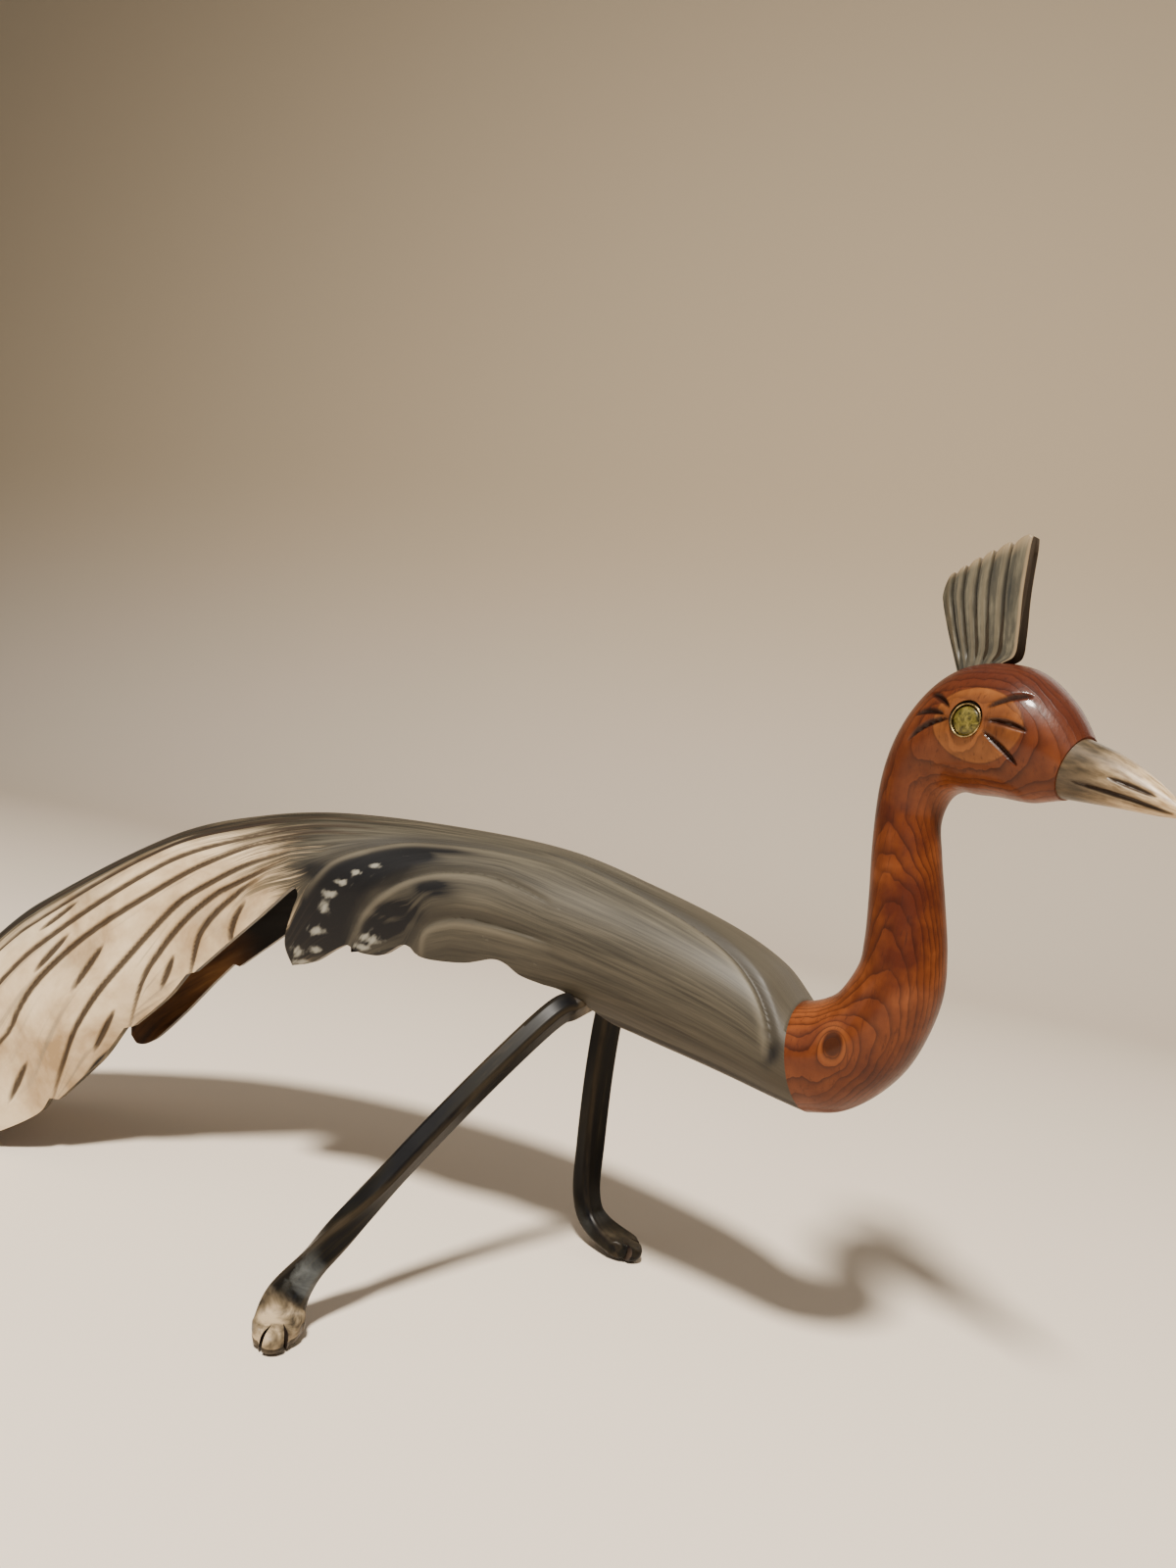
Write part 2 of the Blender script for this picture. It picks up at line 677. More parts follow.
def horn_finish():
    """Grey streaked body, black spotted wing rear and ivory tail, with dark cuts and light rims."""
    tint, make = colours(), Finish("polished_horn")
    along, around = make.painted("spine")
    cuts, rims = make.painted("carving")
    spots, patches = make.painted("patches")
    flow, valley = make.painted("wings")
    collar, belly = make.painted("collar")
    y = make.parts(make.spot())[1]
    flank = around.absolute()
    swirl = make.noise(make.joined(along * 2.0, flow * 1.2, y * 20.0), 1.3, 2.0)
    course = make.joined(along * 2.2 + swirl * 0.5, flow * 7.0 + swirl, y * 14.0)
    streaks = make.noise(course, 1.0, 5.0, 0.6)
    fine = make.noise(make.joined(along * 5.0, flow * 30.0 + swirl * 2.0, y * 14.0), 1.0, 4.0, 0.6)
    clouds = make.noise(make.spot(), 34.0, 5.0, 0.6, 0.6)
    smoke = make.noise(make.joined(along * 9.0, flow * 3.0, 7.0), 1.0, 3.0)
    tone = streaks * 0.65 + fine * 0.35
    grey = make.ramp(tone, (0.37, tint.horn_dark), (0.5, tint.horn_grey), (0.64, tint.horn_light))
    ridge = make.ramp(
        tone, (0.42, (0.01, 0.009, 0.007)), (0.54, (0.034, 0.029, 0.02)), (0.66, (0.16, 0.125, 0.075)))
    mottle = clouds * 0.75 + make.noise(make.spot(), 110.0, 4.0, 0.6) * 0.25
    ivory = make.ramp(mottle, (0.36, tint.horn_tan), (0.44, (0.42, 0.3, 0.175)), (0.52, tint.horn_cream),
                      (0.62, (0.66, 0.52, 0.34)))
    grey_clouds = make.noise(make.spot(), 26.0, 3.0, 0.5, 0.4)
    ivory = make.coats(ivory, (streaks.rise(0.55, 0.7) * 0.5, (0.15, 0.125, 0.09)),
                       (grey_clouds.rise(0.52, 0.68) * 0.45, (0.27, 0.225, 0.155)))
    tail = (along - flank * 0.4 + (streaks - 0.5) * 0.7 + (fine - 0.5) * 0.5).rise(-0.66, -0.92)
    side = (flank + (streaks - 0.5) * 0.12).rise(0.14, 0.2)
    top = (flank + (streaks - 0.5) * 0.1).rise(0.2, 0.07)
    colour = make.coats(grey, (top * 0.6 * (along + swirl * 0.2).rise(0.6, -0.3), ridge),
                        ((along + (streaks - 0.5) * 0.3).rise(-0.4, -0.62), ridge),
                        (tail * side, ivory), (collar * 0.6, (0.06, 0.05, 0.035)))
    lower = flank.rise(0.22, 0.42) * along.rise(-0.5, 0.0)
    colour = make.mix(lower, colour, (0.74, 0.72, 0.69), "MULTIPLY")
    rear = flow.rise(4.22, 4.5) * flow.rise(5.5, 5.05) * along.rise(0.02, -0.18)
    inner = flow.rise(5.5, 5.8) * flow.rise(6.7, 6.2) * along.rise(0.14, -0.12) * streaks.rise(0.42, 0.58)
    black = (patches * 1.2 + rear * 1.05 + inner * 0.9) * smoke.rise(0.05, 0.3)
    flecks = make.noise(make.joined(along * 26.0, flow * 9.0, y * 60.0), 1.0, 3.0, 0.6)
    pale = (spots + (flecks - 0.5) * 1.8).rise(0.3, 1.05)
    third = flow.rise(6.75, 7.1) * along.rise(0.3, 0.0)
    colour = make.coats(colour, (belly * 0.85, (0.011, 0.009, 0.007)),
                        (black.clamped() * 0.98, tint.horn_black), (pale * 0.85, (0.25, 0.24, 0.2)),
                        (third * 0.5, (0.026, 0.022, 0.016)), (valley * 0.6, (0.018, 0.016, 0.013)),
                        (rims * 0.5, (0.15, 0.13, 0.094)), (cuts * 0.93, (0.026, 0.015, 0.008)))
    shine = 0.46 + (fine - 0.5) * 0.24 + cuts * 0.2
    relief = fine * 0.3 + streaks * 0.4
    return make.done(colour, shine, make.bump(relief, 0.15, 0.0006), specular_ior_level=0.2)


def horn_inside_finish():
    """Raw inside of the horn: near black under the wings and amber towards the tail."""
    tint, make = colours(), Finish("raw_horn_inside")
    along, around = make.painted("spine")
    veins = make.noise(make.joined(along * 2.0, around * 14.0), 1.6, 5.0, 0.6)
    amber = make.ramp(
        veins, (0.35, (0.03, 0.012, 0.004)), (0.52, tint.horn_amber), (0.68, (0.2, 0.09, 0.025)))
    deep = (along + (veins - 0.5) * 0.2).rise(-1.14, -0.96)
    colour = make.mix(deep, amber, (0.003, 0.002, 0.002))
    return make.done(colour, 0.55 + (veins - 0.5) * 0.3, make.bump(veins, 0.3, 0.0008))


def horn_edge_finish():
    """The sawn edge of the horn's wall."""
    make = Finish("sawn_horn_edge")
    grain = make.noise(make.spot(), 160.0, 5.0, 0.6)
    colour = make.ramp(
        grain, (0.35, (0.03, 0.024, 0.016)), (0.55, (0.11, 0.085, 0.05)), (0.7, (0.26, 0.2, 0.13)))
    return make.done(colour, 0.42 + (grain - 0.5) * 0.2, make.bump(grain, 0.2, 0.0004))


def wood_finish():
    """Varnished red-brown wood in layers, whose edges show as arches, ovals and a knot."""
    tint, make = colours(), Finish("varnished_wood")
    side_s, side_z = make.painted("side_view")
    across, oval = make.painted("layers")
    cuts, knot = make.painted("carving")
    x, y, z = make.parts(make.spot())
    drift = make.noise(make.spot(), 26.0, 3.0, 0.55)
    ripple = make.noise(make.joined(x * 1.0, y * 1.0, z * 0.35), 130.0, 3.0, 0.5)
    depth = (drift - 0.5) * 7.0 + (ripple - 0.5) * 2.4 - across - side_z * 12.0 + knot * 4.5
    layer = (depth / 1.55).math("FRACT")
    line = (layer ** 3.0) * layer.rise(1.0, 0.93)
    strength = make.noise(make.spot(), 60.0, 2.0).rise(0.32, 0.62)
    pores = make.noise(make.joined(x * 1100.0, y * 1100.0, z * 110.0), 1.0, 4.0, 0.7)
    patch = make.noise(make.spot(), 46.0, 4.0, 0.6)
    base = make.ramp(
        patch, (0.34, (0.055, 0.012, 0.005)), (0.5, tint.wood_red), (0.66, (0.2, 0.058, 0.017)))
    light = make.ramp(
        patch, (0.36, (0.07, 0.02, 0.006)), (0.5, tint.wood_orange), (0.64, (0.22, 0.08, 0.022)))
    oval = (oval + (drift - 0.5) * 0.35).rise(-1.05, -0.97)
    rim = oval * (1 - oval) * 4.0
    crown = (side_z + side_s * 0.35 + (drift - 0.5) * 0.1).rise(2.4, 2.54) * (1 - oval)
    breast = (side_z - side_s * 0.1 + (drift - 0.5) * 0.2).rise(0.86, 0.68)
    halo = knot.rise(0.25, 0.5) * knot.rise(0.75, 0.6)
    head = (side_z + (drift - 0.5) * 0.1).rise(1.64, 1.78) * (1 - oval)
    colour = make.coats(base, (oval * 0.9, light), (rim * 0.45, tint.wood_dark),
                        (crown * 0.7, (0.045, 0.011, 0.008)), (breast * 0.55, (0.05, 0.012, 0.006)),
                        (halo * 0.4, (0.21, 0.065, 0.016)), (head * 0.5, (0.052, 0.012, 0.006)),
                        (line * (0.35 + strength * 0.6) * (1 - oval * 0.3), tint.wood_dark),
                        (pores.rise(0.54, 0.7) * 0.5, tint.wood_dark),
                        (knot.rise(0.55, 0.8) * 0.85, (0.024, 0.007, 0.003)),
                        (cuts * 0.93, (0.016, 0.005, 0.003)))
    relief = line * 0.35 + pores * 0.6
    return make.done(colour, 0.38 + (pores - 0.5) * 0.3, make.bump(relief, 0.3, 0.0004),
                     specular_ior_level=0.12, coat_weight=0.16, coat_roughness=0.09)


def drilled_finish():
    """The dark wall of a hole drilled in the wood, or of a cut filed in the horn."""
    make = Finish("dark_drilled_wall")
    soot = make.noise(make.spot(), 400.0, 3.0)
    colour = make.ramp(soot, (0.35, (0.008, 0.004, 0.003)), (0.65, (0.035, 0.02, 0.012)))
    return make.done(colour, 0.6 + (soot - 0.5) * 0.2)


def beak_finish():
    """Horn bill, grey-green at its root and cream at its tip, with dark cuts."""
    make = Finish("bill_horn")
    along, around = make.painted("spine")
    cuts, edges = make.painted("carving")
    veins = make.noise(make.joined(along * 0.9, around * 9.0), 1.6, 5.0, 0.6)
    cloud = make.noise(make.spot(), 130.0, 4.0, 0.6)
    root = make.ramp(veins, (0.36, (0.034, 0.025, 0.014)), (0.62, (0.09, 0.063, 0.035)))
    tip = make.ramp(veins, (0.36, (0.24, 0.155, 0.075)), (0.6, (0.54, 0.4, 0.235)))
    colour = make.coats(root, ((along + (cloud - 0.5) * 1.3).rise(0.3, 2.6), tip),
                        (edges * 0.45, (0.07, 0.05, 0.03)), (cuts * 0.95, (0.022, 0.012, 0.007)))
    return make.done(colour, 0.4 + (cloud - 0.5) * 0.2, make.bump(veins, 0.15, 0.0005),
                     specular_ior_level=0.35)


def crest_finish():
    """Grey-green crest with dark grooves, light ribs, cream tips and a dark front edge."""
    tint, make = colours(), Finish("crest_horn")
    up, across = make.painted("spine")
    cuts, ribs = make.painted("carving")
    tips, strip = make.painted("rims")
    cloud = make.noise(make.joined(across * 7.0, up * 3.4, 1.0), 1.0, 5.0, 0.62)
    veins = make.noise(make.joined(across * 26.0, up * 1.2, 0.0), 1.0, 5.0, 0.6)
    green = make.ramp(cloud * 0.6 + veins * 0.4, (0.38, (0.02, 0.02, 0.016)), (0.5, tint.crest_green),
                      (0.63, (0.13, 0.115, 0.078)))
    colour = make.coats(green, (ribs * 0.4, (0.16, 0.13, 0.08)), (tips * 0.7, (0.26, 0.19, 0.11)),
                        (cuts * 0.88, (0.02, 0.018, 0.014)), (strip, (0.045, 0.03, 0.018)))
    return make.done(colour, 0.42 + (cloud - 0.5) * 0.2, make.bump(veins, 0.16, 0.0005),
                     specular_ior_level=0.35)


def leg_finish():
    """Polished black horn with brownish bevels, clouded cream and grey at the foot and the knee."""
    tint, make = colours(), Finish("black_horn")
    along, around = make.painted("spine")
    foot, knee = make.painted("patches")
    bevel, sheen = make.painted("rims")
    cloud = make.noise(make.spot(), 120.0, 4.0, 0.6, 0.5)
    veins = make.noise(make.joined(along * 2.0, around * 20.0), 1.5, 5.0, 0.6)
    dark = make.ramp(
        veins, (0.38, tint.horn_black), (0.56, (0.008, 0.007, 0.005)), (0.72, (0.026, 0.02, 0.013)))
    pale = make.ramp(
        cloud, (0.36, (0.05, 0.04, 0.028)), (0.47, (0.2, 0.15, 0.09)), (0.62, (0.42, 0.32, 0.2)))
    clouded = ((foot * 1.3 + knee * 0.7) * (0.6 + (cloud - 0.5) * 2.0)).clamped()
    colour = make.coats(dark, (bevel * veins.rise(0.35, 0.6) * 0.4, (0.05, 0.036, 0.022)),
                        ((sheen * (0.25 + (cloud - 0.5) * 3.6)).clamped(), (0.13, 0.14, 0.14)),
                        (clouded, pale))
    return make.done(colour, 0.34 + (cloud - 0.5) * 0.12, make.bump(veins, 0.12, 0.0005),
                     specular_ior_level=0.08)


def brass_finish():
    """Worn brass of the eye rings."""
    tint, make = colours(), Finish("worn_brass")
    wear = make.noise(make.spot(), 700.0, 4.0, 0.6)
    colour = make.ramp(wear, (0.4, (0.16, 0.11, 0.045)), (0.62, tint.brass))
    return make.done(colour, 0.28 + (wear - 0.5) * 0.25, make.bump(wear, 0.1, 0.0002), metallic=1.0)


def bead_finish():
    """Olive-gold middle of the eyes, clouded with dark marks."""
    tint, make = colours(), Finish("olive_bead")
    marks = make.noise(make.spot(), 520.0, 5.0, 0.65, 0.7)
    colour = make.ramp(marks, (0.36, (0.02, 0.017, 0.005)), (0.5, tint.olive), (0.66, (0.19, 0.15, 0.035)))
    return make.done(colour, 0.3 + (marks - 0.5) * 0.3, make.bump(marks, 0.2, 0.0003),
                     specular_ior_level=0.3)


# The horn body

HORN_ROWS = 352
HORN_COLUMNS = 322
HORN_START = -183.6

# The horn's radius in decimetres, how much thinner its tail is in millimetres, and the angles between
# which the belly's dark line fades in and out

HORN_GIRTH = 0.26
TAIL_TRIM = 0.45
BELLY_LINE = (139, 143, 149, 154)

# The lines in which the horn's streaks run: each tail groove goes on ahead above the wings, and each wing
# tier goes on behind and ahead of its carved length

FLOW_AHEAD = (
    ((-20, 10), (60, 9), (120, 8)),
    ((-20, 20), (60, 17), (120, 14)),
    ((-20, 29), (10, 24), (120, 18)),
    ((-30, 42), (-10, 34), (10, 29), (120, 21)),
    ((-47, 58), (-30, 44), (-17, 36), (14, 30), (120, 23)),
    ((-47, 64), (-30, 46), (-17, 37.5), (14, 31), (120, 24.5)),
    ((-52, 74), (-44, 64), (-30, 48), (-17, 38.5), (14, 31.6), (120, 26)),
    ((-56, 90), (-50, 84), (-44, 69), (-30, 50), (-17, 39.3), (14, 32.4), (120, 28)),
)
TIERS_BEHIND = (((-184, 150), (-75, 135), (-56, 108)), ((-184, 165), (-60, 150), (-34, 135)),
                ((-184, 175), (-60, 165), (-10, 140)))
TIERS_AHEAD = (((60, 34), (100, 40), (120, 44)), ((60, 63), (120, 66)), ((70, 92), (120, 96)))
FLOW_STEPS = (0.5, 0.5, 0.5, 0.5, 0.5, 0.5, 0.5, 0.5, 0.25, 1.2, 1.2, 1.8)


def flow_across(at, angle):
    """A value that stays the same along the lines in which the horn's streaks run."""
    flank = np.abs(angle)
    lines = [np.zeros_like(flank)]
    for groove, ahead in zip(TAIL_GROOVES, FLOW_AHEAD):
        way = np.array((*groove[::-1], *ahead), float)
        lines.append(np.interp(at, way[:, 0], way[:, 1]))
    for behind, tier, ahead in zip(TIERS_BEHIND, WING_TIERS, TIERS_AHEAD):
        way = np.array((*behind, *tier[1:], *ahead), float)
        lines.append(np.interp(at, way[:, 0], way[:, 1]))
    lines = np.maximum.accumulate([*lines, np.full_like(flank, 180.0)])
    flow = np.zeros_like(flank)
    for k, step in enumerate(FLOW_STEPS):
        gap = np.maximum(lines[k + 1] - lines[k], 0.01)
        flow += step * np.clip((flank - lines[k]) / gap, 0, 1)
    return flow


def collar_share(at, angle):
    """1 on the plain collar beside the neck, and 0 behind the shoulder's line."""
    line = np.array((*SHOULDER, (113, 120), (110, 180)), float)
    line = line[np.argsort(line[:, 1])]
    ahead = at - np.interp(np.abs(angle), line[:, 1], line[:, 0])
    return smoothstep(ahead, -0.5, 2.5) * smoothstep(at, 40, 85)


def lower_edge(lobes):
    """The outline that everything below the horn's lower edge fills."""
    edge = [*through(WING_EDGE, 160), *through(WING_REAR, 36)[1:]]
    for lobe in (*lobes, *TAIL_TIP):
        edge.extend(through(lobe, 8 * len(lobe)))
    outline = [(70, 70), *((s, z) for s, z in edge), (-260, 28), (-260, -60), (70, -60)]
    kept = [outline[0]]
    for corner in outline[1:]:
        if math.dist(corner, kept[-1]) > 0.1:
            kept.append(corner)
    return kept


def horn_hollow(sweep, wall):
    """The rounded hollow inside the horn, open at the tail."""
    piece, u, v = flat_sheet("horn_hollow", 110, 60)
    at = HORN[0][0] + u * (HOLLOW_END - HORN[0][0])
    angle = v * 360 - 180
    left = np.minimum((HOLLOW_END - at) / HOLLOW_ROUNDING, 1)
    share = np.sqrt(np.maximum(1 - (1 - left) ** 2, 0.0004))
    corners = sweep.place(at, angle, inset=wall, share=share)
    tilt = math.radians(HORN[0][2])
    corners[u < 1e-4] -= wall * np.array((math.cos(tilt), 0, math.sin(tilt)))
    put_corners(piece, corners)
    paint(piece, "spine", at / 100, np.radians(angle) * HORN_GIRTH)
    close_up(piece)
    return piece


def blurred_spots(sweep, points, spots, sharpness):
    """A mask of soft ovals on both sides, each longer along the horn than round it."""
    mask = np.zeros(len(points))
    for at, angle, length, height in spots:
        for side in (-1, 1):
            middle = sweep.place(at, angle * side)
            ahead = sweep.place(at + 0.5, angle * side) - sweep.place(at - 0.5, angle * side)
            ahead /= np.linalg.norm(ahead)
            off = points - middle
            lengthways = off @ ahead
            crossways = np.linalg.norm(off - lengthways[:, None] * ahead, axis=1)
            away = (lengthways / length) ** 2 + (crossways / height) ** 2
            mask = np.maximum(mask, np.exp(-away ** sharpness))
    return mask


class BuildHorn(bpy.types.Operator):
    """Models the horn body: rolled, carved, hollowed and cut along its lobed lower edge"""

    bl_idname = "peacock.build_horn"
    bl_label = "Horn body"

    def execute(self, context):
        size, sweep = sizes(), Sweep(HORN)
        piece, u, v = flat_sheet("carved_horn_body", HORN_ROWS, HORN_COLUMNS)
        # Rows and columns stand closest together where the tail and the wings are carved
        at = np.interp(u, (0, 0.79, 1), (HORN_START, 38, HORN[-1][0]))
        angle = np.sign(v - 0.5) * np.interp(np.abs(2 * v - 1), (0, 0.05, 0.88, 1), (0, 9, 146, 180))
        surface, out = sweep.place(at, angle), sweep.facing(at, angle)
        width, depth = size["groove_width"], size["groove_depth"]
        cut, cuts = engrave(sweep, surface, out, (*TAIL_GROOVES, *TAIL_SLOTS), width, width, depth)
        faint, lines = engrave(sweep, surface, out, RIDGE_LINES, width, width, depth * 0.35)
        cut, cuts = np.maximum(cut, faint), np.maximum(cuts, lines * 0.6)
        steps = ((WING_TIERS, 0.8, size["tier_width"], 1), ((SHOULDER,), size["tier_width"] * 0.7, 1.0, -1))
        rims, valley = np.zeros(len(cut)), np.zeros(len(cut))
        for tiers, ahead, behind, raised in steps:
            step, _ = engrave(sweep, surface, out, tiers, ahead, behind, size["tier_depth"], False)
            cut = np.maximum(cut, step)
            for line in tiers:
                for side in (-1, 1):
                    near, signed, share = Track(sweep, line, side).beside(surface, out, 7)
                    off = signed * raised
                    bright = share * np.exp(-((off - 1.7) / 1.1) ** 2)
                    dim = share * np.exp(-((off + 1.6) / 1.9) ** 2)
                    rims[near] = np.maximum(rims[near], bright)
                    valley[near] = np.maximum(valley[near], dim)
        trim = TAIL_TRIM * smoothstep(-at, 150, 180)
        put_corners(piece, surface - out * (cut + trim)[:, None])
        flank = np.abs(angle)
        belly = smoothstep(flank, *BELLY_LINE[:2]) * (1 - smoothstep(flank, *BELLY_LINE[2:]))
        belly = belly * smoothstep(at, 25, 50)
        paint(piece, "spine", at / 100, np.radians(angle) * HORN_GIRTH)
        paint(piece, "carving", cuts, rims)
        paint(piece, "patches", blurred_spots(sweep, surface, PALE_SPOTS, 1.0),
              blurred_spots(sweep, surface, DARK_PATCHES, 1.0))
        paint(piece, "wings", flow_across(at, angle), valley)
        paint(piece, "collar", collar_share(at, angle), belly)
        outer = horn_finish()
        piece.data.materials.append(outer)
        close_up(piece)
        hollow = horn_hollow(sweep, size["horn_wall"])
        hollow.data.materials.append(horn_inside_finish())
        cut_away(piece, hollow)
        edge = horn_edge_finish()
        for lobes, low, high in ((RIGHT_LOBES, -60, 0.5), (LEFT_LOBES, -0.5, 60)):
            outline = [(s, low, z) for s, z in lower_edge(lobes)]
            cut_away(piece, prism("below_the_edge", outline, (0, high - low, 0), edge))
        take_pose(piece)
        finish_piece(piece, (outer,), "horn_body", sharp=55.0)
        return {"FINISHED"}


# The wooden neck and head

WOOD_ROWS = 400
WOOD_COLUMNS = 180
KNOT_STRETCH = (1.15, 0.6, 0.9)
KNOT_REACH = 5.0
HOLE_DEPTH = 3.0
HOLE_SHIFT = (-0.35, 0, 0.45)
HOLE_CLEARANCE = 0.42
DRILL_ABOVE = 4.0


def eye_frame(sweep):
    """Where the eyes sit and which way they face, for each side."""
    at, angle = EYE_SPOT
    for side in (-1, 1):
        yield side, sweep.place(at, angle * side), sweep.facing(at, angle * side)


def drill(place, out, radius, depth, lining):
    """A round cutter at a place on the surface."""
    deselect()
    turned = Vector(out).to_track_quat("Z", "Y")
    middle = Vector(place) + Vector(out) * (DRILL_ABOVE - depth) / 2
    bpy.ops.mesh.primitive_cylinder_add(vertices=64, radius=radius, depth=depth + DRILL_ABOVE,
                                        location=middle, rotation=turned.to_euler())
    bpy.ops.object.transform_apply(location=True, rotation=True, scale=True)
    cutter = bpy.context.object
    cutter.data.materials.append(lining)
    return cutter


class BuildNeckAndHead(bpy.types.Operator):
    """Models the wooden neck and head with the cuts and drilled holes of the eyes"""

    bl_idname = "peacock.build_neck_and_head"
    bl_label = "Neck and head"

    def execute(self, context):
        size, sweep = sizes(), Sweep(WOOD, counted=True)
        piece, u, v = flat_sheet("wooden_neck_and_head", WOOD_ROWS, WOOD_COLUMNS)
        # Rows and columns stand closest together beside the eyes, where the cuts are
        at = np.interp(u, (0, 0.42, 1), (0, 8.6, len(WOOD) - 1))
        angle = np.sign(v - 0.5) * np.interp(np.abs(2 * v - 1), (0, 0.2, 0.8, 1), (0, 42, 126, 180))
        surface, out = sweep.place(at, angle), sweep.facing(at, angle)
        width = size["lash_width"]
        cut, cuts = engrave(sweep, surface, out, LASHES, width, width, size["lash_depth"])
        knots = sweep.place(KNOT_SPOT[0], KNOT_SPOT[1] * np.array((-1, 1)))
        offsets = [(surface - knot) * KNOT_STRETCH for knot in knots]
        away = np.min([np.linalg.norm(offset, axis=1) for offset in offsets], axis=0)
        s, y, z = surface.T
        oval = -np.hypot((s - 159.4) / 12.6, (z - 185.0 + (s - 160) * 0.06) / 9.6)
        oval = oval - smoothstep(-np.abs(y), -7, -3)
        put_corners(piece, surface - out * cut[:, None])
        paint(piece, "side_view", s / 100, z / 100)
        paint(piece, "layers", y, oval)
        paint(piece, "carving", cuts, np.exp(-(away / KNOT_REACH) ** 2))
        wood = wood_finish()
        piece.data.materials.append(wood)
        close_up(piece)
        dark = drilled_finish()
        for side, place, facing in eye_frame(sweep):
            radius = size["eye_width"] / 2 + HOLE_CLEARANCE
            cut_away(piece, drill(place + np.array(HOLE_SHIFT), facing, radius, HOLE_DEPTH, dark))
        take_pose(piece)
        finish_piece(piece, (wood,), "wood_neck_and_head", sharp=50.0)
        return {"FINISHED"}


# The eyes: a brass ring round a domed olive bead

RING_TOP = 0.4
RING_DEPTH = 2.6
RING_ROUNDING = 0.16
BEAD_CLEARANCE = 0.1
BEAD_FLATNESS = 0.32
BEAD_SINK = 0.55


def turn_into_pose(piece, place, facing):
    """Stands a piece made along +Z at the origin on a place of the straight figure, then poses it."""
    turned = Vector(facing).to_track_quat("Z", "Y").to_matrix().to_4x4()
    piece.data.transform(Matrix.Translation(Vector(place)) @ turned)
    take_pose(piece)


class BuildEyes(bpy.types.Operator):
    """Models the brass rings and the olive beads of both eyes"""

    bl_idname = "peacock.build_eyes"
    bl_label = "Eyes"

    def execute(self, context):
        size, sweep = sizes(), Sweep(WOOD, counted=True)
        brass, olive = brass_finish(), bead_finish()
        outer = size["eye_width"] / 2
        inner = outer - size["eye_wall"]
        for side, place, facing in eye_frame(sweep):
            name = "right" if side < 0 else "left"
            ring = self.ring(outer, inner)
            ring.name = f"{name}_brass_eye_ring"
            turn_into_pose(ring, place, facing)
            finish_piece(ring, (brass,), f"{name}_eye_ring")
            bead = self.bead(inner - BEAD_CLEARANCE)
            bead.name = f"{name}_olive_eye_bead"
            turn_into_pose(bead, place, facing)
            finish_piece(bead, (olive,), f"{name}_eye_bead")
        return {"FINISHED"}

    def ring(self, outer, inner):
        """A short tube: a disc is inset, its middle removed, and the band pulled down and rounded."""
        deselect()
        bpy.ops.mesh.primitive_circle_add(vertices=72, radius=outer, fill_type="NGON",
                                          location=(0, 0, RING_TOP))
        start_editing()
        bpy.ops.mesh.inset(thickness=outer - inner)
        bpy.ops.mesh.delete(type="FACE")
        bpy.ops.mesh.select_all(action="SELECT")
        bpy.ops.mesh.extrude_region_move(TRANSFORM_OT_translate={"value": (0, 0, -RING_DEPTH)})
        stop_editing()
        bpy.ops.object.transform_apply(location=True, rotation=True, scale=True)
        ring = bpy.context.object
        modify(ring, "BEVEL", width=RING_ROUNDING, segments=3, limit_method="ANGLE")
        return ring

    def bead(self, radius):
        """A ball, cut flat behind and pressed into a low dome."""
        deselect()
        bpy.ops.mesh.primitive_uv_sphere_add(segments=64, ring_count=32, radius=radius)
        bead = bpy.context.object
        start_editing()
        bpy.ops.mesh.bisect(plane_co=(0, 0, 0), plane_no=(0, 0, 1), clear_inner=True, use_fill=True)
        bpy.ops.mesh.select_all(action="SELECT")
        bpy.ops.transform.resize(value=(1, 1, BEAD_FLATNESS), center_override=(0, 0, 0))
        bpy.ops.transform.translate(value=(0, 0, -BEAD_SINK))
        stop_editing()
        return bead


# The beak and the crest

LINE_WIDTH = 0.95
LINE_SHADE = 2.2
LOBE_HEIGHT = 3.2
CREST_GROOVE = 0.9


class BuildBeak(bpy.types.Operator):
    """Models the horn bill with its mouth and nostril lines"""

    bl_idname = "peacock.build_beak"
    bl_label = "Beak"

    def execute(self, context):
        size, sweep = sizes(), Sweep(BILL, counted=True)
        piece, u, v = flat_sheet("horn_bill", 200, 130)
        end = len(BILL) - 1
        at, angle = u * end, v * 360 - 180
        blunt = np.sqrt(np.maximum(1 - np.clip((at - end + 0.12) / 0.12, 0, 1) ** 2, 0.002))
        surface, out = sweep.place(at, angle, share=blunt), sweep.facing(at, angle)
        cut, cuts = engrave(sweep, surface, out, BILL_GROOVES, LINE_WIDTH, LINE_WIDTH, size["bill_groove"])
        _, beside = engrave(sweep, surface, out, BILL_GROOVES, LINE_SHADE, LINE_SHADE, 1.0)
        put_corners(piece, surface - out * cut[:, None])
        paint(piece, "spine", at, np.radians(angle) * 0.3)
        paint(piece, "carving", cuts, beside)
        close_up(piece)
        take_pose(piece)
        finish_piece(piece, (beak_finish(),), "horn_beak", sharp=55.0)
        return {"FINISHED"}


